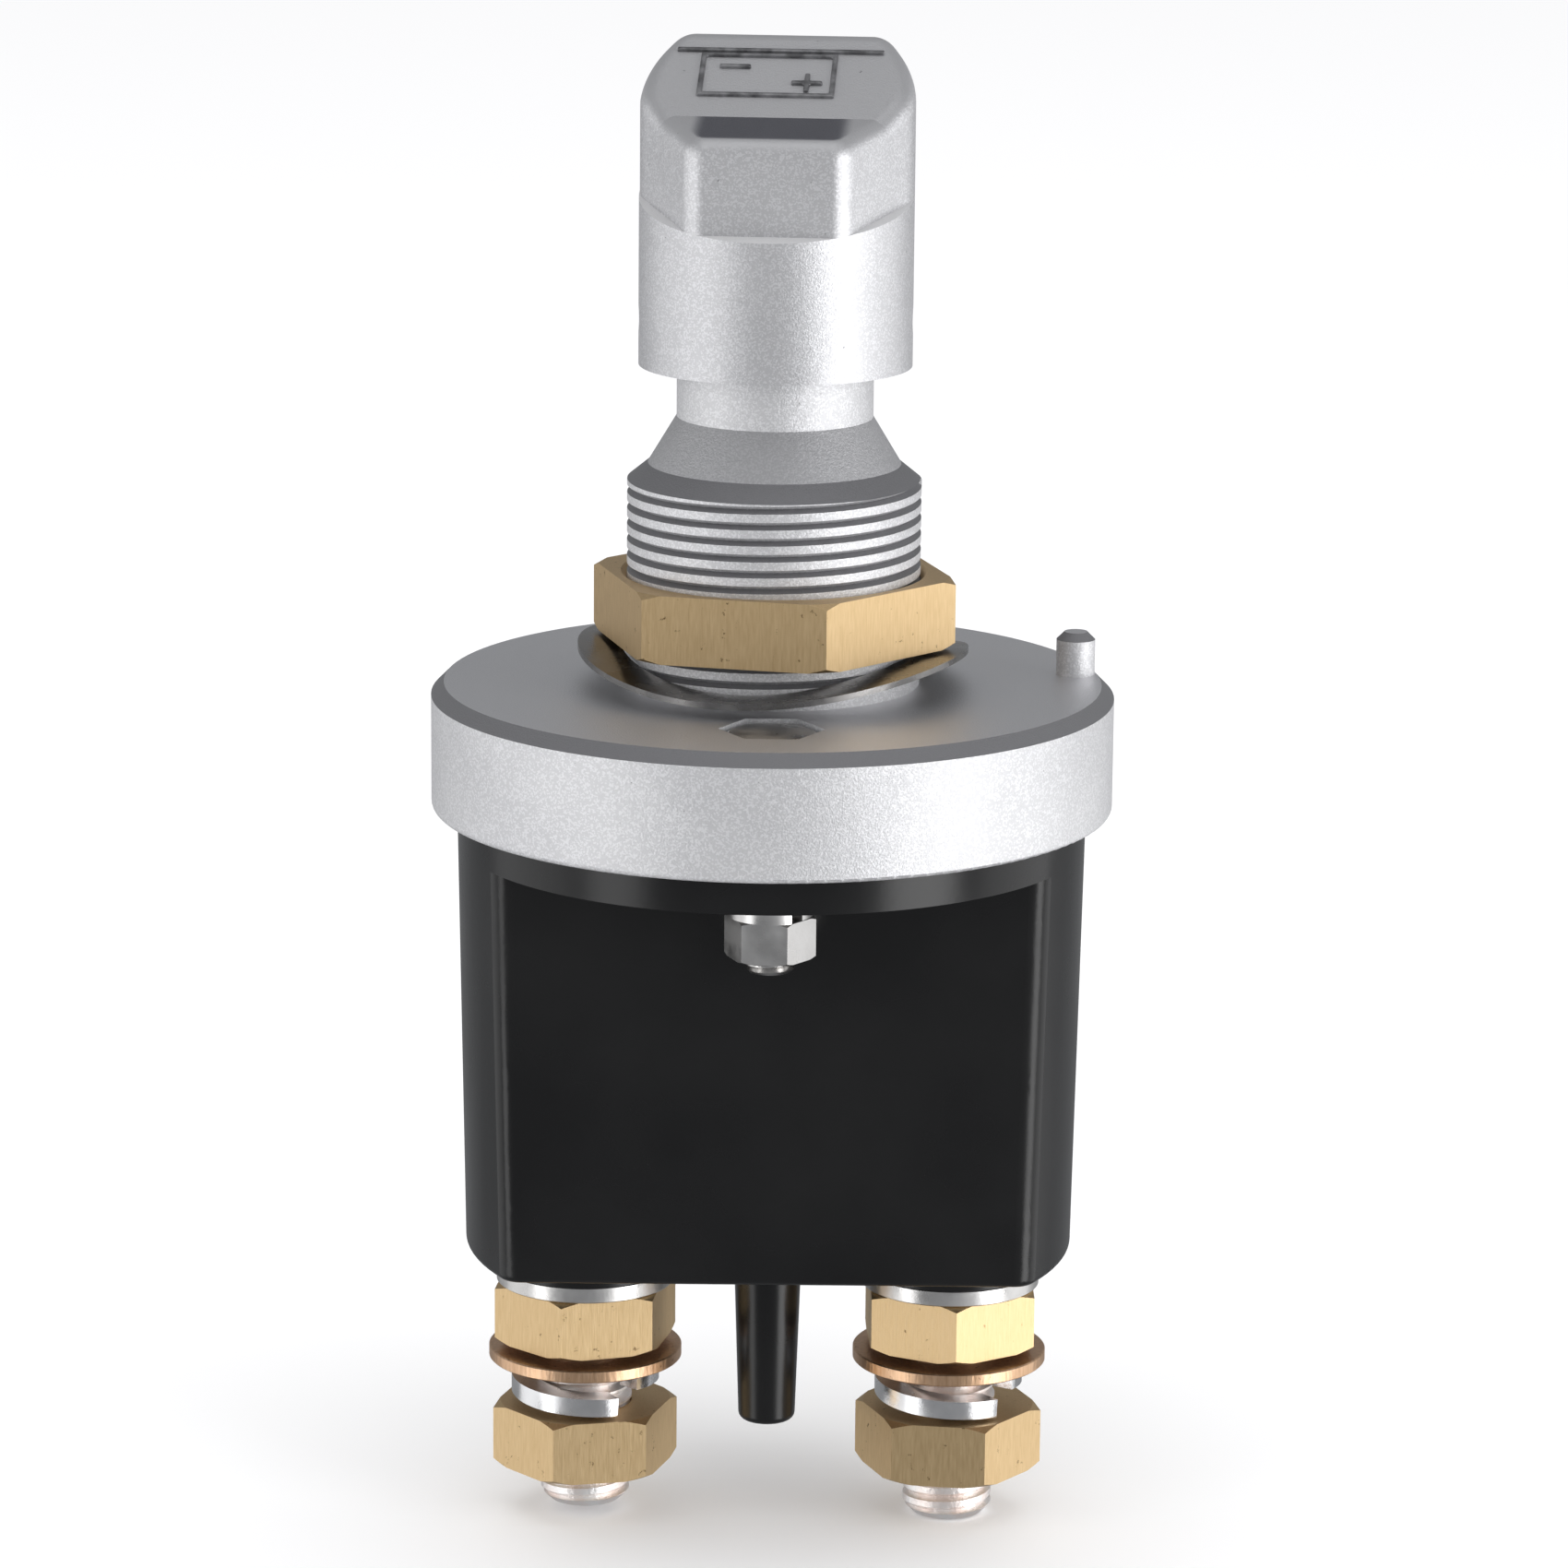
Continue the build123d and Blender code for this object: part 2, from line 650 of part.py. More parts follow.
# Spindle: turned steel, thick in the neck, with a shoulder for the spring and a thin
# stem down through the slide
spindle_top = skirt_foot + skirt_depth + socket_depth - socket_gap
seal_r = spindle_r - seal_squeeze - seal_section / 2
groove_r = spindle_r - seal_section - groove_play
groove_half = seal_section / 2 + groove_play
with BuildPart() as spindle:
    with BuildSketch(Plane.XZ):
        Polygon(
            (0, spindle_top),
            (spindle_r - spindle_edge, spindle_top),
            (spindle_r, spindle_top - spindle_edge),
            (spindle_r, seal_height + groove_half),
            (groove_r, seal_height + groove_half),
            (groove_r, seal_height - groove_half),
            (spindle_r, seal_height - groove_half),
            (spindle_r, shoulder_top),
            (seat_shoulder_r, shoulder_top),
            (seat_shoulder_r, shoulder_foot),
            (stem_r, shoulder_foot),
            (stem_r, ring_z + ring_t + ring_play),
            (stem_r - ring_bite, ring_z + ring_t + ring_play),
            (stem_r - ring_bite, ring_z - ring_play),
            (stem_r, ring_z - ring_play),
            (stem_r, stem_foot),
            (0, stem_foot),
            align=None,
        )
    revolve(axis=Axis.Z)
    with BuildSketch(Plane.YZ):
        with Locations((0, pin_z)):
            Circle(knob_pin_r + seat_gap)
    extrude(amount=far, both=True, mode=Mode.SUBTRACT)
spindle.part.label = "spindle"
export_step(spindle.part, "parts/spindle.step")

# Seal ring in the spindle's groove
with BuildPart() as seal_ring:
    with BuildSketch(Plane.XZ):
        with Locations((seal_r, seal_height)):
            Circle(seal_section / 2)
    revolve(axis=Axis.Z)
seal_ring.part.label = "seal_ring"
export_step(seal_ring.part, "parts/seal_ring.step")

# Retaining ring: open ring snapped in the stem's groove under the slide's boss
with BuildPart() as retaining_ring:
    with BuildSketch(Plane.XY.offset(ring_z)):
        Circle(ring_r)
        Circle(stem_r - ring_bite + seat_gap, mode=Mode.SUBTRACT)
        Rectangle(far, stem_r, align=(Align.MIN, Align.CENTER), mode=Mode.SUBTRACT)
    extrude(amount=ring_t)
retaining_ring.part.label = "retaining_ring"
export_step(retaining_ring.part, "parts/retaining_ring.step")

# Slide: insulating block that carries the contact bridge between two cheeks and is
# kept from turning by the chamber's walls
with BuildPart() as carrier:
    with BuildSketch(Plane.XY.offset(slide_z)):
        Rectangle(slide_l, 2 * (chamber_y - slide_gap))
    extrude(amount=slide_t)
    cheek_w = chamber_y - slide_gap - bridge_w / 2 - cheek_gap
    with BuildSketch(Plane.XY.offset(slide_z)):
        with Locations((0, bridge_w / 2 + cheek_gap), (0, -bridge_w / 2 - cheek_gap - cheek_w)):
            Rectangle(slide_l, cheek_w, align=(Align.CENTER, Align.MIN))
    extrude(amount=-slide_cheek)
    with BuildSketch(Plane.XY.offset(slide_z)):
        Circle(boss_r)
    extrude(amount=boss_foot - slide_z)
    fillet(carrier.edges().filter_by(Axis.Z), slide_corner)
    with BuildSketch(Plane.XY.offset(slide_top)):
        Circle(spring_r + spring_wire_r + slide_gap)
    extrude(amount=-slide_pocket, mode=Mode.SUBTRACT)
    with BuildSketch(Plane.XY.offset(slide_top)):
        Circle(stem_r + spindle_fit)
    extrude(amount=boss_foot - slide_top, mode=Mode.SUBTRACT)
carrier.part.label = "carrier"
export_step(carrier.part, "parts/carrier.step")

# Contact bridge: copper bar that joins the two stud heads when the switch is on
with BuildPart() as contact_bridge:
    with BuildSketch(Plane.XY.offset(bridge_z)):
        RectangleRounded(2 * (terminal_x + bridge_past_stud), bridge_w, bridge_corner)
        Circle(boss_r + seat_gap, mode=Mode.SUBTRACT)
    extrude(amount=bridge_t)
contact_bridge.part.label = "contact_bridge"
export_step(contact_bridge.part, "parts/contact_bridge.step")

# Contact spring between the spindle's shoulder and the slide's pocket
spring_foot = slide_top - slide_pocket + seat_gap + spring_wire_r
spring_h = shoulder_foot - slide_gap - spring_wire_r - spring_foot
with BuildPart() as contact_spring:
    with BuildLine() as spring_line:
        Helix(
            pitch=spring_h / spring_coils,
            height=spring_h,
            radius=spring_r,
            center=(0, 0, spring_foot),
        )
    with BuildSketch(Plane(origin=spring_line.line @ 0, z_dir=spring_line.line % 0)):
        Circle(spring_wire_r)
    sweep(path=spring_line.line, is_frenet=True)
contact_spring.part.label = "contact_spring"
export_step(contact_spring.part, "parts/contact_spring.step")
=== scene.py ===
import bpy
from math import cos, pi, radians, sin
from mathutils import Matrix, Vector


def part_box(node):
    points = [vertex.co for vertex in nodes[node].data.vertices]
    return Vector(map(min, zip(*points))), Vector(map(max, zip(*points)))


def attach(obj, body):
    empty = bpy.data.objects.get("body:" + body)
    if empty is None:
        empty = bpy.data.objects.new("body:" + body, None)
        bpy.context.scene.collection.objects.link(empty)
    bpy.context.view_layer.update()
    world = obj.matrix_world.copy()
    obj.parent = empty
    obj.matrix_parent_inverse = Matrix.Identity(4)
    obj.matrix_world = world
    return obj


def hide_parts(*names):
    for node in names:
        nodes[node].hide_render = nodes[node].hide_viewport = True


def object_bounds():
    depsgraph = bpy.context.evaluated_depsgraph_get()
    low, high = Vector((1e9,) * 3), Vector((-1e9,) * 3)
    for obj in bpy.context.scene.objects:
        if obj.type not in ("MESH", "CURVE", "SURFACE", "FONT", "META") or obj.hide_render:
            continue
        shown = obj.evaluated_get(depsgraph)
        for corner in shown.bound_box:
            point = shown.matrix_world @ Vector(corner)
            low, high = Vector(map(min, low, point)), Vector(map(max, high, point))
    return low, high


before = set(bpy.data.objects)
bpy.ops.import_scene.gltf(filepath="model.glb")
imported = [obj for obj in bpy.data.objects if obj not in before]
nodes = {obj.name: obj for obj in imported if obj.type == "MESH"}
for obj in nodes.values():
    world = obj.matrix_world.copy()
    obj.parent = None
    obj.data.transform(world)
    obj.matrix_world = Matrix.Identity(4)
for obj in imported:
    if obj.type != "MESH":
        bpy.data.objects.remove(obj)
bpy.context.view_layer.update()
mm = 0.001

# Housing: the flange, threaded neck and bare neck, one zinc die-casting under fine
# silver paint. Its neck thread is cut here into a copy of the plain casting: broad
# flat crests and narrow grooves, as a worn die leaves them.


def pick(*pieces):
    """Selects these objects only, with the first one active."""
    bpy.ops.object.select_all(action="DESELECT")
    for piece in pieces:
        piece.select_set(True)
    bpy.context.view_layer.objects.active = pieces[0]


def settle(piece):
    """Puts a piece's place into its mesh, so that its object sits at the origin."""
    pick(piece)
    bpy.ops.object.transform_apply(location=True, rotation=True, scale=True)


def copy_of(node, name):
    """A closed copy of a node's mesh, with its loose triangles merged."""
    pick(nodes[node])
    bpy.ops.object.duplicate()
    piece = bpy.context.active_object
    piece.name = piece.data.name = name
    piece.parent = None
    for key in list(piece.keys()):
        if key.startswith("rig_"):
            del piece[key]
    bpy.ops.object.mode_set(mode="EDIT")
    bpy.ops.mesh.select_all(action="SELECT")
    bpy.ops.mesh.remove_doubles(threshold=0.000002)
    bpy.ops.object.mode_set(mode="OBJECT")
    return piece


def cut_thread(piece, x, y, crest_r, groove, mouth, pitch, low, high, steps=72):
    """Cuts a helical groove of V section into a shaft at x and y, from low to high."""
    bpy.ops.object.select_all(action="DESELECT")
    bpy.ops.mesh.primitive_circle_add(vertices=3, radius=groove)
    cutter = bpy.context.active_object
    proud = 0.35 * groove
    spread = mouth / 2 * (groove + proud) / groove
    corners = ((crest_r - groove, 0), (crest_r + proud, -spread), (crest_r + proud, spread))
    for vertex, (reach, rise) in zip(cutter.data.vertices, corners):
        vertex.co = (reach, 0, low + rise)
    winding = cutter.modifiers.new("winding", "SCREW")
    winding.angle = 2 * pi
    winding.screw_offset = pitch
    winding.iterations = max(1, round((high - low) / pitch))
    winding.steps = winding.render_steps = steps
    winding.use_normal_calculate = True
    pick(cutter)
    bpy.ops.object.modifier_apply(modifier="winding")
    bpy.ops.object.mode_set(mode="EDIT")
    bpy.ops.mesh.select_all(action="SELECT")
    bpy.ops.mesh.remove_doubles(threshold=0.000001)
    bpy.ops.mesh.fill_holes(sides=3)
    bpy.ops.mesh.normals_make_consistent(inside=False)
    bpy.ops.object.mode_set(mode="OBJECT")
    cutter.location = (x, y, 0)
    settle(cutter)
    cut = piece.modifiers.new("thread", "BOOLEAN")
    cut.operation = "DIFFERENCE"
    cut.solver = "EXACT"
    cut.object = cutter
    pick(piece)
    bpy.ops.object.modifier_apply(modifier="thread")
    bpy.data.objects.remove(cutter)


def shade(piece, degrees):
    """Smooths the piece up to an angle, with its large faces kept flat or round."""
    pick(piece)
    if piece.data.has_custom_normals:
        bpy.ops.mesh.customdata_custom_splitnormals_clear()
    bpy.ops.object.shade_smooth_by_angle(angle=radians(degrees))
    even = piece.modifiers.new("even", "WEIGHTED_NORMAL")
    even.keep_sharp = True
    bpy.ops.object.modifier_apply(modifier="even")


neck_crest_r = 15.0 * mm
neck_pitch = 1.62 * mm
neck_groove = 0.72 * mm
neck_groove_mouth = 0.78 * mm
neck_thread_foot = 1.4 * mm
neck_thread_top = 20.7 * mm
threaded_housing = copy_of("housing", "threaded_housing")
cut_thread(
    threaded_housing,
    x=0,
    y=0,
    crest_r=neck_crest_r,
    groove=neck_groove,
    mouth=neck_groove_mouth,
    pitch=neck_pitch,
    low=neck_thread_foot,
    high=neck_thread_top,
)
shade(threaded_housing, 14)


def new_group(name, inputs, outputs):
    """An empty node group with these sockets, its way in and its way out."""
    group = bpy.data.node_groups.new(name, "ShaderNodeTree")
    for label, kind, value in inputs:
        socket = group.interface.new_socket(name=label, in_out="INPUT", socket_type=kind)
        socket.default_value = value
    for label, kind in outputs:
        group.interface.new_socket(name=label, in_out="OUTPUT", socket_type=kind)
    entry = group.nodes.new("NodeGroupInput")
    way_out = group.nodes.new("NodeGroupOutput")
    return group, entry, way_out


FLOAT = "NodeSocketFloat"
VECTOR = "NodeSocketVector"

# Fine grain of sprayed or cast metal: height for bump, and bright specks
grain, entry, way_out = new_group(
    "sprayed_grain",
    (("Size", FLOAT, 2500.0), ("Speck share", FLOAT, 0.3)),
    (("Height", FLOAT), ("Speck", FLOAT)),
)
place = grain.nodes.new("ShaderNodeTexCoord")
fine = grain.nodes.new("ShaderNodeTexNoise")
fine.inputs["Detail"].default_value = 3.0
fine.inputs["Roughness"].default_value = 0.65
flakes = grain.nodes.new("ShaderNodeTexVoronoi")
flake_size = grain.nodes.new("ShaderNodeMath")
flake_size.operation = "MULTIPLY"
flake_size.inputs[1].default_value = 1.3
tone = grain.nodes.new("ShaderNodeSeparateColor")
speck = grain.nodes.new("ShaderNodeMath")
speck.operation = "LESS_THAN"
grain.links.new(place.outputs["Object"], fine.inputs["Vector"])
grain.links.new(place.outputs["Object"], flakes.inputs["Vector"])
grain.links.new(entry.outputs["Size"], fine.inputs["Scale"])
grain.links.new(entry.outputs["Size"], flake_size.inputs[0])
grain.links.new(flake_size.outputs[0], flakes.inputs["Scale"])
grain.links.new(flakes.outputs["Color"], tone.inputs["Color"])
grain.links.new(tone.outputs["Red"], speck.inputs[0])
grain.links.new(entry.outputs["Speck share"], speck.inputs[1])
grain.links.new(fine.outputs["Fac"], way_out.inputs["Height"])
grain.links.new(speck.outputs[0], way_out.inputs["Speck"])

# Slow drift of tone over a surface, as handling and uneven finish leave it
drift, entry, way_out = new_group(
    "tone_drift", (("Size", FLOAT, 60.0), ("Contrast", FLOAT, 1.0)), (("Drift", FLOAT),)
)
place = drift.nodes.new("ShaderNodeTexCoord")
cloud = drift.nodes.new("ShaderNodeTexNoise")
cloud.inputs["Detail"].default_value = 4.0
spread_tone = drift.nodes.new("ShaderNodeMapRange")
spread_tone.inputs["From Min"].default_value = 0.35
spread_tone.inputs["From Max"].default_value = 0.65
drift.links.new(place.outputs["Object"], cloud.inputs["Vector"])
drift.links.new(entry.outputs["Size"], cloud.inputs["Scale"])
drift.links.new(cloud.outputs["Fac"], spread_tone.inputs["Value"])
drift.links.new(entry.outputs["Contrast"], spread_tone.inputs["To Max"])
drift.links.new(spread_tone.outputs["Result"], way_out.inputs["Drift"])


def new_material(name, metallic, roughness):
    """A material with its Principled BSDF; returns the material, its nodes, links and shader."""
    material = bpy.data.materials.new(name)
    material.use_nodes = True
    tree = material.node_tree
    shader = tree.nodes["Principled BSDF"]
    shader.inputs["Metallic"].default_value = metallic
    shader.inputs["Roughness"].default_value = roughness
    return material, tree.nodes, tree.links, shader


def place_group(tree_nodes, group, **values):
    """Places a node group in a material with its own values."""
    node = tree_nodes.new("ShaderNodeGroup")
    node.node_tree = group
    for label, value in values.items():
        node.inputs[label.replace("_", " ")].default_value = value
    return node


def colour_between(tree_nodes, links, factor, low, high):
    """A colour mixed from low to high by a factor socket."""
    mix = tree_nodes.new("ShaderNodeMix")
    mix.data_type = "RGBA"
    mix.inputs["A"].default_value = (*low, 1)
    mix.inputs["B"].default_value = (*high, 1)
    links.new(factor, mix.inputs["Factor"])
    return mix.outputs["Result"]


def number_between(tree_nodes, links, factor, low, high):
    """A number mapped from low to high by a factor socket."""
    mapped = tree_nodes.new("ShaderNodeMapRange")
    mapped.inputs["To Min"].default_value = low
    mapped.inputs["To Max"].default_value = high
    links.new(factor, mapped.inputs["Value"])
    return mapped.outputs["Result"]


def bump(tree_nodes, links, shader, height, strength, distance):
    """Feeds a height to the shader's normal."""
    node = tree_nodes.new("ShaderNodeBump")
    node.inputs["Strength"].default_value = strength
    node.inputs["Distance"].default_value = distance
    links.new(height, node.inputs["Height"])
    links.new(node.outputs["Normal"], shader.inputs["Normal"])


# How level a face lies: 0 where its normal's upward part is under From and 1 over To,
# inside a band of height and a half width measured across the piece
level_faces, entry, way_out = new_group(
    "level_faces",
    (
        ("From", FLOAT, 0.8),
        ("To", FLOAT, 1.0),
        ("Above", FLOAT, -1.0),
        ("Below", FLOAT, 1.0),
        ("Half width", FLOAT, 1.0),
        ("Across", VECTOR, (1.0, 0.0, 0.0)),
    ),
    (("Level", FLOAT),),
)
place = level_faces.nodes.new("ShaderNodeTexCoord")
parts = level_faces.nodes.new("ShaderNodeSeparateXYZ")
ramp = level_faces.nodes.new("ShaderNodeMapRange")
ramp.interpolation_type = "SMOOTHSTEP"
spot = level_faces.nodes.new("ShaderNodeSeparateXYZ")
above = level_faces.nodes.new("ShaderNodeMath")
above.operation = "GREATER_THAN"
below = level_faces.nodes.new("ShaderNodeMath")
below.operation = "LESS_THAN"
sideways = level_faces.nodes.new("ShaderNodeVectorMath")
sideways.operation = "DOT_PRODUCT"
off_middle = level_faces.nodes.new("ShaderNodeMath")
off_middle.operation = "ABSOLUTE"
inside = level_faces.nodes.new("ShaderNodeMath")
inside.operation = "SUBTRACT"
half_fade = 0.8 * mm
side_fade = level_faces.nodes.new("ShaderNodeMapRange")
side_fade.interpolation_type = "SMOOTHSTEP"
side_fade.inputs["From Min"].default_value = -half_fade
side_fade.inputs["From Max"].default_value = half_fade
level_faces.links.new(place.outputs["Normal"], parts.inputs[0])
level_faces.links.new(parts.outputs["Z"], ramp.inputs["Value"])
level_faces.links.new(entry.outputs["From"], ramp.inputs["From Min"])
level_faces.links.new(entry.outputs["To"], ramp.inputs["From Max"])
level_faces.links.new(place.outputs["Object"], spot.inputs[0])
level_faces.links.new(spot.outputs["Z"], above.inputs[0])
level_faces.links.new(entry.outputs["Above"], above.inputs[1])
level_faces.links.new(spot.outputs["Z"], below.inputs[0])
level_faces.links.new(entry.outputs["Below"], below.inputs[1])
level_faces.links.new(place.outputs["Object"], sideways.inputs[0])
level_faces.links.new(entry.outputs["Across"], sideways.inputs[1])
level_faces.links.new(sideways.outputs["Value"], off_middle.inputs[0])
level_faces.links.new(entry.outputs["Half width"], inside.inputs[0])
level_faces.links.new(off_middle.outputs[0], inside.inputs[1])
level_faces.links.new(inside.outputs[0], side_fade.inputs["Value"])
product = ramp.outputs["Result"]
for limit in (above.outputs[0], below.outputs[0], side_fade.outputs["Result"]):
    both = level_faces.nodes.new("ShaderNodeMath")
    both.operation = "MULTIPLY"
    level_faces.links.new(product, both.inputs[0])
    level_faces.links.new(limit, both.inputs[1])
    product = both.outputs[0]
level_faces.links.new(product, way_out.inputs["Level"])


def lay_over(tree_nodes, links, shader, socket, factor, over):
    """Mixes a number, a colour or a socket over what feeds a shader's input, by a factor."""
    mix = tree_nodes.new("ShaderNodeMix")
    if socket == "Base Color":
        mix.data_type = "RGBA"
    fed = shader.inputs[socket].links
    if fed:
        links.new(fed[0].from_socket, mix.inputs["A"])
    else:
        mix.inputs["A"].default_value = shader.inputs[socket].default_value
    if isinstance(over, bpy.types.NodeSocket):
        links.new(over, mix.inputs["B"])
    elif socket == "Base Color":
        mix.inputs["B"].default_value = (*over, 1)
    else:
        mix.inputs["B"].default_value = over
    links.new(factor, mix.inputs["Factor"])
    links.new(mix.outputs["Result"], shader.inputs[socket])


# Small dark pits and stains, scattered more thinly as Rarity grows: 1 where the noise is
# low, fading to 0 over a narrow band
pits, entry, way_out = new_group(
    "small_pits",
    (("Size", FLOAT, 500.0), ("Rarity", FLOAT, 0.18)),
    (("Pit", FLOAT),),
)
place = pits.nodes.new("ShaderNodeTexCoord")
wander = pits.nodes.new("ShaderNodeTexNoise")
wander.inputs["Detail"].default_value = 5.0
wander.inputs["Roughness"].default_value = 0.7
edge = pits.nodes.new("ShaderNodeMath")
edge.operation = "SUBTRACT"
edge.inputs[0].default_value = 0.5
deeper = pits.nodes.new("ShaderNodeMath")
deeper.operation = "SUBTRACT"
deeper.inputs[1].default_value = 0.06
sharp = pits.nodes.new("ShaderNodeMapRange")
sharp.inputs["To Min"].default_value = 1.0
sharp.inputs["To Max"].default_value = 0.0
pits.links.new(place.outputs["Object"], wander.inputs["Vector"])
pits.links.new(entry.outputs["Size"], wander.inputs["Scale"])
pits.links.new(entry.outputs["Rarity"], edge.inputs[1])
pits.links.new(edge.outputs[0], deeper.inputs[0])
pits.links.new(deeper.outputs[0], sharp.inputs["From Min"])
pits.links.new(edge.outputs[0], sharp.inputs["From Max"])
pits.links.new(wander.outputs["Fac"], sharp.inputs["Value"])
pits.links.new(sharp.outputs["Result"], way_out.inputs["Pit"])


def silver_paint(
    name, low, high, slant_shade, painted_top_light, roughness, grain_size, grain_depth, slant_shade_at=None, top_light_at=None
):
    """Silver paint on a casting: grainy, with flakes and nicks, and painted light and shade:
    another tone on slants and on tops for how they catch the light, inside the limits that
    level_faces gets for each."""
    metallic = 0.72
    flake = (0.11, 0.11, 0.112)
    nick = (0.16, 0.16, 0.165)
    material, tree_nodes, links, shader = new_material(name, metallic, roughness)
    specks = place_group(tree_nodes, grain, Size=grain_size, Speck_share=0.35)
    tones = place_group(tree_nodes, drift, Size=70.0, Contrast=0.6)
    flaked = tree_nodes.new("ShaderNodeMix")
    flaked.data_type = "RGBA"
    flaked.blend_type = "ADD"
    flaked.inputs["B"].default_value = (*flake, 1)
    links.new(specks.outputs["Speck"], flaked.inputs["Factor"])
    base = colour_between(tree_nodes, links, tones.outputs["Drift"], low, high)
    links.new(base, flaked.inputs["A"])
    links.new(flaked.outputs["Result"], shader.inputs["Base Color"])
    slant_shade_mask = place_group(tree_nodes, level_faces, From=0.3, To=0.72, **(slant_shade_at or {}))
    top_light_mask = place_group(tree_nodes, level_faces, From=0.9, To=0.97, **(top_light_at or {}))
    nicks = place_group(tree_nodes, pits, Size=1100.0, Rarity=0.18)
    # Painted shade and light: the slant tone on slanting faces and the top tone on level tops
    # stand in for how these faces catch the light
    lay_over(tree_nodes, links, shader, "Base Color", slant_shade_mask.outputs["Level"], slant_shade)
    lay_over(tree_nodes, links, shader, "Base Color", top_light_mask.outputs["Level"], painted_top_light)
    lay_over(tree_nodes, links, shader, "Base Color", nicks.outputs["Pit"], nick)
    lay_over(tree_nodes, links, shader, "Roughness", top_light_mask.outputs["Level"], roughness - 0.12)
    lay_over(tree_nodes, links, shader, "Metallic", top_light_mask.outputs["Level"], 0.95)
    bump(tree_nodes, links, shader, specks.outputs["Height"], grain_depth, 0.0002)
    return material


# Painted shade and light on the housing: slants such as the flange's chamfer and the neck's cone
# get a much darker tone, level tops a lighter, glossier one
housing_paint = silver_paint(
    "housing_paint",
    low=(0.57, 0.57, 0.585),
    high=(0.67, 0.67, 0.68),
    slant_shade=(0.22, 0.22, 0.23),
    painted_top_light=(0.74, 0.74, 0.76),
    roughness=0.50,
    grain_size=4600.0,
    grain_depth=0.42,
)


def dress(piece, material):
    """Gives a piece one material on all its faces."""
    piece.data.materials.clear()
    piece.data.materials.append(material)
    for polygon in piece.data.polygons:
        polygon.material_index = 0


dress(threaded_housing, housing_paint)
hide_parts("housing")
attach(threaded_housing, "base")

# Panel nut and terminal nuts: brass bar drawn to a hexagon, sawn off and tapped. The
# flats keep the die's long marks and small pits, and the cut faces are turned.

# Long fine marks along Z, as a drawing die leaves them on the sides of a bar
marks, entry, way_out = new_group(
    "drawn_marks",
    (("Across", FLOAT, 1500.0), ("Along", FLOAT, 60.0)),
    (("Mark", FLOAT),),
)
place = marks.nodes.new("ShaderNodeTexCoord")
squeeze = marks.nodes.new("ShaderNodeVectorMath")
squeeze.operation = "MULTIPLY"
ratio = marks.nodes.new("ShaderNodeMath")
ratio.operation = "DIVIDE"
shape = marks.nodes.new("ShaderNodeCombineXYZ")
shape.inputs["X"].default_value = 1.0
shape.inputs["Y"].default_value = 1.0
streaks = marks.nodes.new("ShaderNodeTexNoise")
streaks.inputs["Detail"].default_value = 3.0
marks.links.new(entry.outputs["Along"], ratio.inputs[0])
marks.links.new(entry.outputs["Across"], ratio.inputs[1])
marks.links.new(ratio.outputs[0], shape.inputs["Z"])
marks.links.new(place.outputs["Object"], squeeze.inputs[0])
marks.links.new(shape.outputs[0], squeeze.inputs[1])
marks.links.new(squeeze.outputs[0], streaks.inputs["Vector"])
marks.links.new(entry.outputs["Across"], streaks.inputs["Scale"])
marks.links.new(streaks.outputs["Fac"], way_out.inputs["Mark"])


def bare_brass(name, low, high, stain, roughness, marks_size, marks_depth):
    """Bare brass with drawn marks, pits and a little tarnish."""
    material, tree_nodes, links, shader = new_material(name, 1.0, roughness)
    drawn = place_group(tree_nodes, marks, Across=marks_size, Along=500.0)
    spots = place_group(tree_nodes, pits, Size=900.0, Rarity=0.14)
    base = colour_between(tree_nodes, links, drawn.outputs["Mark"], low, high)
    links.new(base, shader.inputs["Base Color"])
    lay_over(tree_nodes, links, shader, "Base Color", spots.outputs["Pit"], stain)
    rough = number_between(
        tree_nodes, links, drawn.outputs["Mark"], roughness - 0.06, roughness + 0.08
    )
    links.new(rough, shader.inputs["Roughness"])
    bump(tree_nodes, links, shader, drawn.outputs["Mark"], marks_depth, 0.00005)
    return material


brass = bare_brass(
    "brass",
    low=(0.58, 0.40, 0.20),
    high=(0.80, 0.61, 0.36),
    stain=(0.24, 0.15, 0.07),
    roughness=0.46,
    marks_size=5200.0,
    marks_depth=0.22,
)
for node in ("panel_nut", "terminal_nuts_upper", "terminal_nuts_lower"):
    dress(nodes[node], brass)

# Terminal washers: stamped from brass strip, redder and coarser than the nuts, with the
# punch's upright tear marks on their edges.
brass_washer = bare_brass(
    "brass_washer",
    low=(0.50, 0.29, 0.16),
    high=(0.86, 0.60, 0.40),
    stain=(0.24, 0.13, 0.08),
    roughness=0.36,
    marks_size=2600.0,
    marks_depth=0.9,
)
dress(nodes["terminal_washers"], brass_washer)

# Terminal studs: rolled M10 threads on tinned copper, one left and one right. The
# threads are cut here into copies of the plain studs.
stud_pitch = 1.5 * mm
stud_crest_r = 4.9 * mm
stud_groove = 0.72 * mm
stud_groove_mouth = 1.25 * mm
stud_thread_top = -64.5 * mm
tinned, tree_nodes, links, shader = new_material("tinned_copper", 0.9, 0.42)
tones = place_group(tree_nodes, drift, Size=420.0, Contrast=1.0)
tin = colour_between(
    tree_nodes, links, tones.outputs["Drift"], (0.95, 0.93, 0.92), (0.92, 0.83, 0.79)
)
links.new(tin, shader.inputs["Base Color"])
specks = place_group(tree_nodes, grain, Size=2200.0, Speck_share=0.3)
bump(tree_nodes, links, shader, specks.outputs["Height"], 0.4, 0.0002)
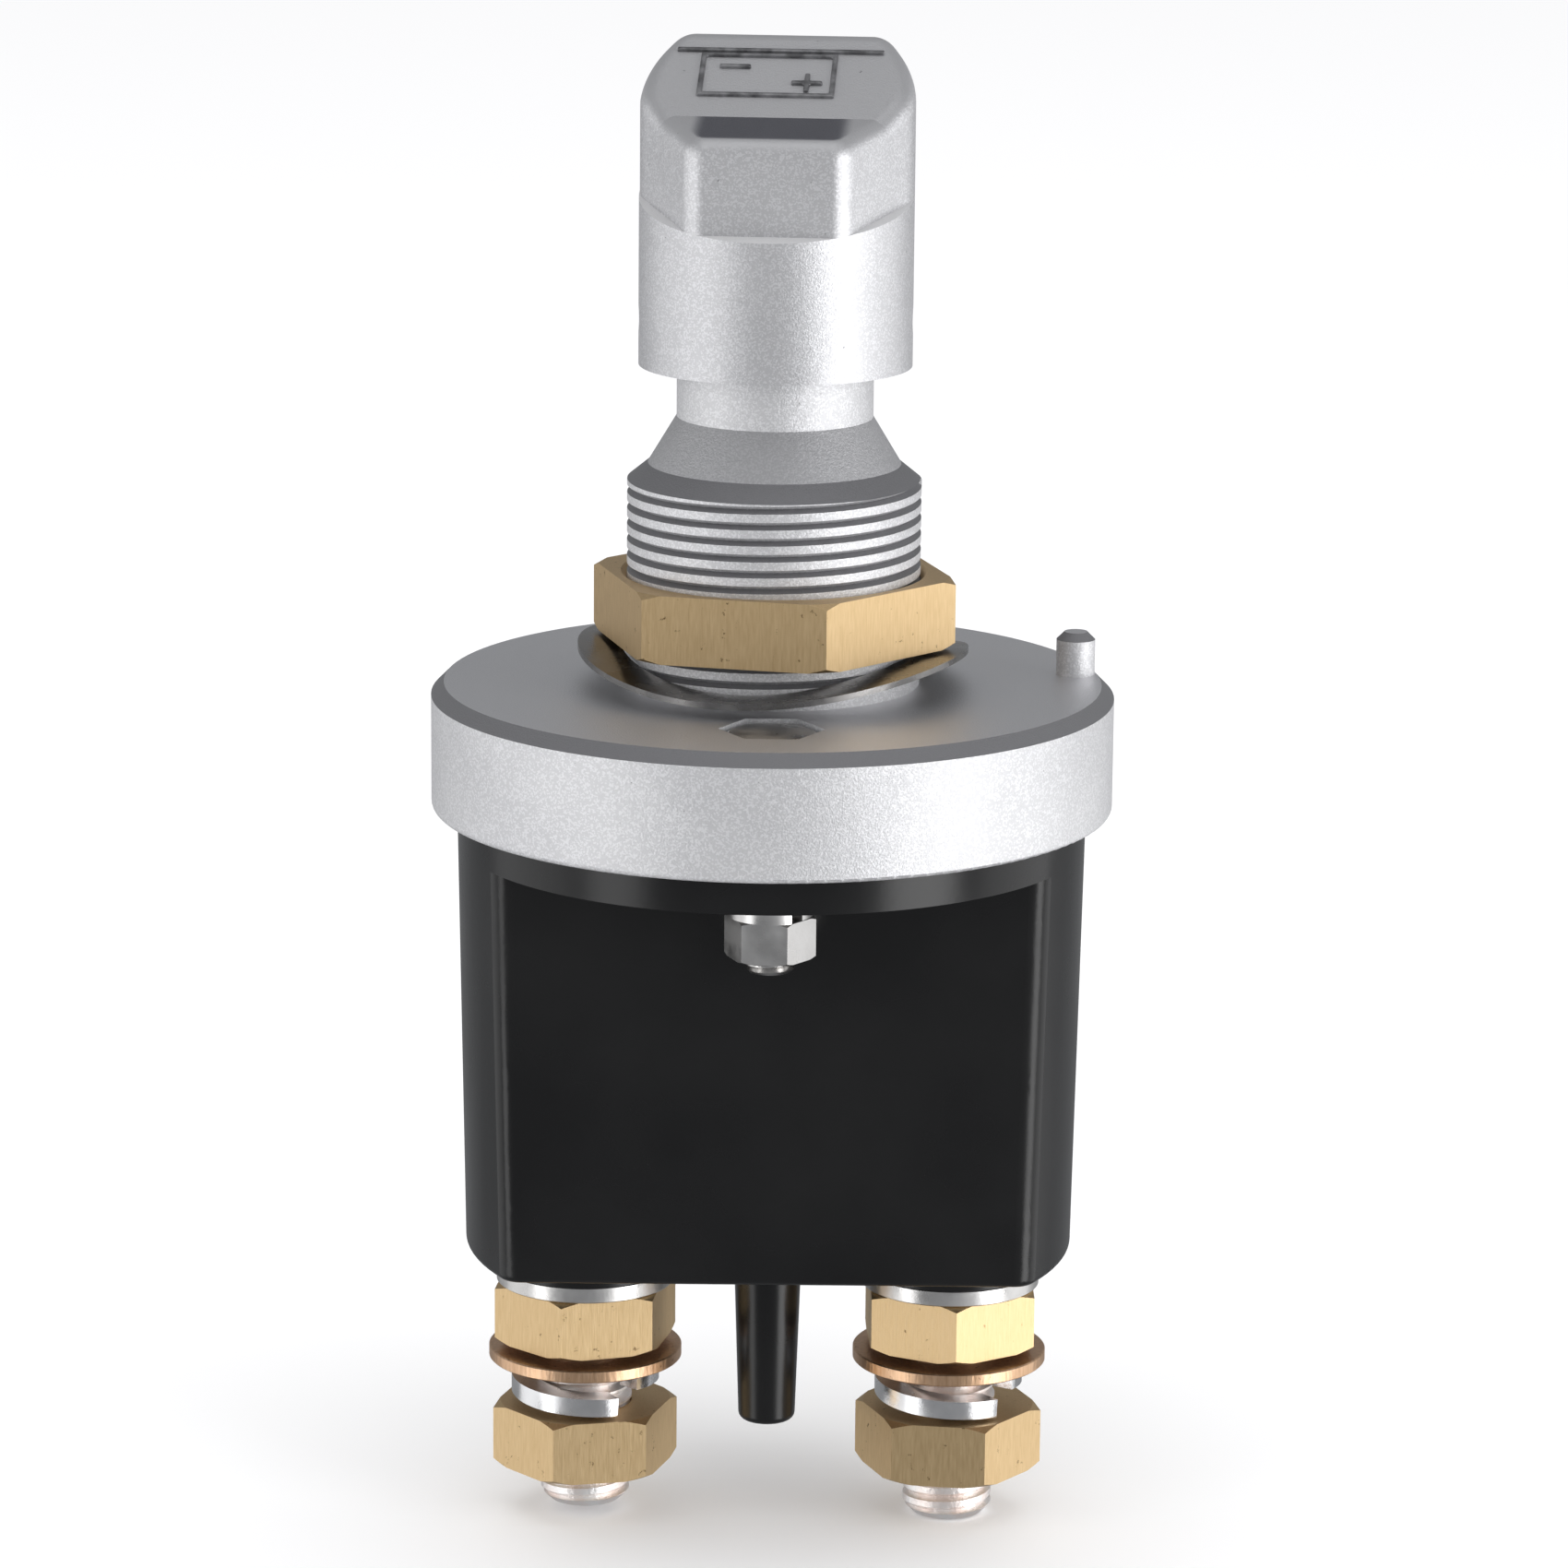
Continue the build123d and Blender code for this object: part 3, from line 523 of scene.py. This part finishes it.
for side in ("left", "right"):
    node = "terminal_stud_" + side
    stud_low, stud_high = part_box(node)
    stud = copy_of(node, "threaded_stud_" + side)
    cut_thread(
        stud,
        x=(stud_low.x + stud_high.x) / 2,
        y=0,
        crest_r=stud_crest_r,
        groove=stud_groove,
        mouth=stud_groove_mouth,
        pitch=stud_pitch,
        low=stud_low.z - stud_pitch,
        high=stud_thread_top,
        steps=48,
    )
    shade(stud, 25)
    dress(stud, tinned)
    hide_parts(node)
    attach(stud, "base")

# Body: glossy black thermoset moulding, polished by its mould, with faint flow marks.
# It hangs from the housing on the two flange bolts.
black_moulding, tree_nodes, links, shader = new_material("black_moulding", 0.0, 0.16)
tones = place_group(tree_nodes, drift, Size=45.0, Contrast=1.0)
black = colour_between(
    tree_nodes, links, tones.outputs["Drift"], (0.0035, 0.0035, 0.0038), (0.006, 0.006, 0.0064)
)
links.new(black, shader.inputs["Base Color"])
links.new(
    number_between(tree_nodes, links, tones.outputs["Drift"], 0.24, 0.32),
    shader.inputs["Roughness"],
)
shader.inputs["Specular IOR Level"].default_value = 0.36
specks = place_group(tree_nodes, grain, Size=900.0, Speck_share=0.2)
bump(tree_nodes, links, shader, specks.outputs["Height"], 0.04, 0.0002)
dress(nodes["body"], black_moulding)

# Knob: a zinc die-casting like the housing, under smoother silver paint. Its nose has a level top
# in front, darkened as a painted reflection, and a narrow ledge runs along the round skirt's upper
# edge, lightened as a painted highlight.
knob_angle = radians(-4.7)
nose_half_w = 7.4 * mm
above_ledge = 52.0 * mm
below_ridge = 62.0 * mm
# Painted shade on the knob: its nose's level top gets a dark tone as a painted reflection; its
# slants keep the paint's own tone
knob_paint = silver_paint(
    "knob_paint",
    low=(0.50, 0.50, 0.515),
    high=(0.58, 0.58, 0.595),
    slant_shade=(0.50, 0.50, 0.515),
    painted_top_light=(0.20, 0.20, 0.23),
    roughness=0.40,
    grain_size=5200.0,
    grain_depth=0.3,
    slant_shade_at={"Above": above_ledge},
    top_light_at={
        "Above": above_ledge,
        "Below": below_ridge,
        "Half_width": nose_half_w,
        "Across": (cos(knob_angle), sin(knob_angle), 0),
    },
)
tree_nodes, links = knob_paint.node_tree.nodes, knob_paint.node_tree.links
shader = tree_nodes["Principled BSDF"]
# Painted highlight: the level ledge under the flanks is lighter and less metallic, to read as
# bright as the skirt beside it
ledge_highlight = place_group(tree_nodes, level_faces, From=0.9, To=0.97, Below=above_ledge)
lay_over(tree_nodes, links, shader, "Base Color", ledge_highlight.outputs["Level"], (0.60, 0.60, 0.61))
lay_over(tree_nodes, links, shader, "Metallic", ledge_highlight.outputs["Level"], 0.2)
dress(nodes["knob"], knob_paint)

# Emblem: a plain raised bar and a battery sign with its plus and minus, cast on the
# knob's sloping face. Its lines are drawn in darker, glossier metal than the paint around them.
slope = radians(30.0)
ridge_y = 7.3 * mm
ridge_z = 65.4 * mm
line_w = 0.55 * mm
line_h = 0.64 * mm

# Its lines in millimetres on the slope, from the ridge's middle: left, foot, right, head
frame_left = -7.8
frame_right = 5.5
frame_foot = -10.5
frame_head = -3.9
bar_left = -10.3
bar_right = 10.1
bar_y = -3.1
plus_x = 2.9
plus_y = -8.4
minus_x = -4.5
minus_y = -5.8
sign_half_w = 1.3
sign_half_h = 1.2
lines = (
    (bar_left, bar_y, bar_right, bar_y),
    (frame_left, frame_foot, frame_right, frame_foot),
    (frame_left, frame_head, frame_right, frame_head),
    (frame_left, frame_foot, frame_left, frame_head),
    (frame_right, frame_foot, frame_right, frame_head),
    (plus_x - sign_half_w, plus_y, plus_x + sign_half_w, plus_y),
    (plus_x, plus_y - sign_half_h, plus_x, plus_y + sign_half_h),
    (minus_x - sign_half_w, minus_y, minus_x + sign_half_w, minus_y),
)
strokes = []
for start_x, start_y, end_x, end_y in lines:
    bpy.ops.object.select_all(action="DESELECT")
    bpy.ops.mesh.primitive_cube_add(size=1.0)
    stroke = bpy.context.active_object
    stroke.scale = (
        (end_x - start_x) * mm + line_w,
        (end_y - start_y) * mm + line_w,
        line_h,
    )
    stroke.location = ((start_x + end_x) / 2 * mm, (start_y + end_y) / 2 * mm, 0)
    settle(stroke)
    strokes.append(stroke)
pick(*strokes)
bpy.ops.object.join()
emblem = bpy.context.active_object
emblem.name = emblem.data.name = "emblem"
union = emblem.modifiers.new("union", "REMESH")
union.mode = "VOXEL"
union.voxel_size = 0.09 * mm
pick(emblem)
bpy.ops.object.modifier_apply(modifier="union")
soften = emblem.modifiers.new("soften", "CORRECTIVE_SMOOTH")
soften.iterations = 6
soften.use_only_smooth = True
pick(emblem)
bpy.ops.object.modifier_apply(modifier="soften")
emblem.matrix_world = (
    Matrix.Rotation(knob_angle, 4, "Z")
    @ Matrix.Translation((0, ridge_y, ridge_z))
    @ Matrix.Rotation(slope, 4, "X")
)
settle(emblem)
bpy.ops.object.shade_smooth()
# Darker, glossier metal on the emblem's lines: its points carry this attribute, which the knob
# paint reads
darker_line_mark = emblem.data.attributes.new("darker_lines", "FLOAT", "POINT")
for point in darker_line_mark.data:
    point.value = 1.0
tree_nodes, links = knob_paint.node_tree.nodes, knob_paint.node_tree.links
shader = tree_nodes["Principled BSDF"]
darker_lines = tree_nodes.new("ShaderNodeAttribute")
darker_lines.attribute_name = "darker_lines"
patches = place_group(tree_nodes, drift, Size=650.0, Contrast=1.0)
metal = colour_between(
    tree_nodes, links, patches.outputs["Drift"], (0.10, 0.10, 0.105), (0.26, 0.26, 0.27)
)
lay_over(tree_nodes, links, shader, "Base Color", darker_lines.outputs["Fac"], metal)
lay_over(tree_nodes, links, shader, "Roughness", darker_lines.outputs["Fac"], 0.28)
dress(emblem, knob_paint)
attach(emblem, "rotor")

# Small steel pieces: zinc-plated bolts, nuts and washers, the knob's cross pin and the
# turned spindle.


def plated_steel(name, low, high, roughness):
    """Plated or blued steel with faint handling marks."""
    material, tree_nodes, links, shader = new_material(name, 1.0, roughness)
    tones = place_group(tree_nodes, drift, Size=260.0, Contrast=1.0)
    base = colour_between(tree_nodes, links, tones.outputs["Drift"], low, high)
    links.new(base, shader.inputs["Base Color"])
    rough = number_between(
        tree_nodes, links, tones.outputs["Drift"], roughness - 0.06, roughness + 0.1
    )
    links.new(rough, shader.inputs["Roughness"])
    specks = place_group(tree_nodes, grain, Size=1800.0, Speck_share=0.2)
    bump(tree_nodes, links, shader, specks.outputs["Height"], 0.15, 0.0001)
    return material


steel = plated_steel("steel", (0.56, 0.55, 0.54), (0.70, 0.69, 0.68), 0.30)
for node in (
    "flange_bolts",
    "flange_bolt_washers",
    "flange_bolt_spring_washers",
    "flange_bolt_nuts",
    "seat_washers",
    "knob_pin",
    "spindle",
):
    dress(nodes[node], steel)

# Flange bolts: zinc-plated M5, through the housing's flange and the body's collar. The
# threads rolled on their ends are cut here into a copy of the plain bolts.
bolt_y = 23.0 * mm
bolt_crest_r = 2.5 * mm
bolt_pitch = 0.8 * mm
bolt_groove = 0.4 * mm
bolt_groove_mouth = 0.66 * mm
bolt_thread_l = 4.0 * mm
bolt_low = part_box("flange_bolts")[0]
threaded_bolts = copy_of("flange_bolts", "threaded_bolts")
for y in (-bolt_y, bolt_y):
    cut_thread(
        threaded_bolts,
        x=0,
        y=y,
        crest_r=bolt_crest_r,
        groove=bolt_groove,
        mouth=bolt_groove_mouth,
        pitch=bolt_pitch,
        low=bolt_low.z - bolt_pitch,
        high=bolt_low.z + bolt_thread_l,
        steps=36,
    )
shade(threaded_bolts, 25)
dress(threaded_bolts, steel)
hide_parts("flange_bolts")
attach(threaded_bolts, "base")

# Spring washers on the studs and the contact spring: bright plated spring steel, the
# washers split with a left-hand slope and the spring wound from wire.
bright_spring = plated_steel("bright_spring_steel", (0.70, 0.70, 0.71), (0.82, 0.82, 0.83), 0.24)
for node in ("terminal_spring_washers", "contact_spring"):
    dress(nodes[node], bright_spring)

# Wave washer under the panel nut and retaining ring on the spindle: thin spring steel,
# stamped, bent and blued.
blued = plated_steel("dark_spring_steel", (0.22, 0.215, 0.21), (0.32, 0.31, 0.30), 0.26)
for node in ("wave_washer", "retaining_ring"):
    dress(nodes[node], blued)

# Pieces inside the switch: moulded slide, copper bridge, the gasket of fibre under the
# housing and the rubber ring in the spindle's groove.
copper = plated_steel("copper", (0.62, 0.34, 0.24), (0.74, 0.44, 0.32), 0.32)
dress(nodes["contact_bridge"], copper)


def plain_soft(name, low, high, roughness, size):
    """Matt moulded, fibre or rubber surface with a fine grain."""
    material, tree_nodes, links, shader = new_material(name, 0.0, roughness)
    tones = place_group(tree_nodes, drift, Size=size, Contrast=1.0)
    base = colour_between(tree_nodes, links, tones.outputs["Drift"], low, high)
    links.new(base, shader.inputs["Base Color"])
    specks = place_group(tree_nodes, grain, Size=1500.0, Speck_share=0.2)
    bump(tree_nodes, links, shader, specks.outputs["Height"], 0.25, 0.0002)
    return material


dress(
    nodes["carrier"],
    plain_soft("slide_moulding", (0.07, 0.04, 0.025), (0.12, 0.07, 0.045), 0.5, 90.0),
)
dress(
    nodes["gasket"],
    plain_soft("gasket_fibre", (0.10, 0.10, 0.095), (0.2, 0.19, 0.18), 0.8, 400.0),
)
dress(
    nodes["seal_ring"],
    plain_soft("seal_rubber", (0.012, 0.012, 0.012), (0.03, 0.03, 0.03), 0.6, 300.0),
)

# Floor: plain and pale, just under the studs' ends. It is left out of reflections and
# shadows on the piece, so that the tall soft boxes light it down to its foot.
floor_side = 12.0
floor_gap = 0.2 * mm
stud_end_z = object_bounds()[0][2]
bpy.ops.object.select_all(action="DESELECT")
bpy.ops.mesh.primitive_plane_add(size=floor_side, location=(0, 0, stud_end_z - floor_gap))
floor = bpy.context.active_object
floor.name = "floor"
settle(floor)
floor.visible_glossy = False
floor.visible_shadow = False
floor_paint, tree_nodes, links, shader = new_material("floor_paint", 0.0, 0.95)
shader.inputs["Base Color"].default_value = (0.93, 0.93, 0.935, 1)
shader.inputs["Specular IOR Level"].default_value = 0.0
dress(floor, floor_paint)

# Studio: a pale room that shows dim in reflections, with tall soft boxes at the sides
# and in front, brighter on the right, and one overhead
world = bpy.data.worlds.new("studio")
bpy.context.scene.world = world
world.use_nodes = True
air = world.node_tree
backdrop = air.nodes["Background"]
backdrop.inputs["Color"].default_value = (0.985, 0.985, 0.99, 1)
backdrop.inputs["Strength"].default_value = 1.0
room = air.nodes.new("ShaderNodeBackground")
room.inputs["Color"].default_value = (0.95, 0.97, 1.0, 1)
room.inputs["Strength"].default_value = 0.30
seen = air.nodes.new("ShaderNodeLightPath")
choose = air.nodes.new("ShaderNodeMixShader")
air.links.new(seen.outputs["Is Glossy Ray"], choose.inputs["Fac"])
air.links.new(backdrop.outputs[0], choose.inputs[1])
air.links.new(room.outputs[0], choose.inputs[2])
air.links.new(choose.outputs[0], air.nodes["World Output"].inputs["Surface"])


def soft_box(name, turn, height, reach, width, tall, glow):
    """A rectangular area light at an angle from +X round the switch, facing its middle."""
    data = bpy.data.lights.new(name, "AREA")
    data.shape = "RECTANGLE"
    data.size = width
    data.size_y = tall
    data.energy = glow * pi * width * tall
    light = bpy.data.objects.new(name, data)
    bpy.context.scene.collection.objects.link(light)
    stand = Vector((reach * cos(radians(turn)), reach * sin(radians(turn)), height))
    light.location = stand
    light.rotation_euler = (middle - stand).to_track_quat("-Z", "Y").to_euler()


middle = Vector((0, 0, -20.0 * mm))
soft_box("front_right", turn=-34.0, height=-0.1, reach=1.2, width=0.6, tall=1.5, glow=3.9)
soft_box("side_right", turn=12.0, height=-0.1, reach=1.2, width=0.9, tall=1.5, glow=1.0)
soft_box("front_left", turn=212.0, height=-0.1, reach=1.2, width=0.45, tall=1.5, glow=2.2)
soft_box("side_left", turn=172.0, height=-0.1, reach=1.2, width=0.9, tall=1.5, glow=0.8)
soft_box("overhead", turn=-90.0, height=1.3, reach=0.25, width=1.0, tall=1.0, glow=0.72)

# Camera: the photograph's own view from a little above, with a long lens, fitted to the
# flange, neck, nuts and body
focal_px = 6775.0
frame_px = 1700.0
sensor_mm = 36.0
distance = 640.8 * mm
elevation = radians(13.12)
lean = radians(0.52)
aim = Vector((1.25, -2.42, -10.38)) * mm
back = Vector((0, -cos(elevation), sin(elevation)))
sideways = Vector((1, 0, 0))
upright = Vector((0, sin(elevation), cos(elevation)))
camera_x = sideways * cos(lean) + upright * sin(lean)
camera_y = upright * cos(lean) - sideways * sin(lean)
view = bpy.data.cameras.new("view")
view.sensor_width = sensor_mm
view.lens = focal_px / frame_px * sensor_mm
view.clip_start = 0.01
view.clip_end = 50
camera = bpy.data.objects.new("camera", view)
bpy.context.scene.collection.objects.link(camera)
turned = Matrix((camera_x, camera_y, back)).transposed().to_4x4()
camera.matrix_world = Matrix.Translation(aim + back * distance) @ turned
bpy.context.scene.camera = camera
bpy.context.scene.view_settings.view_transform = "Standard"
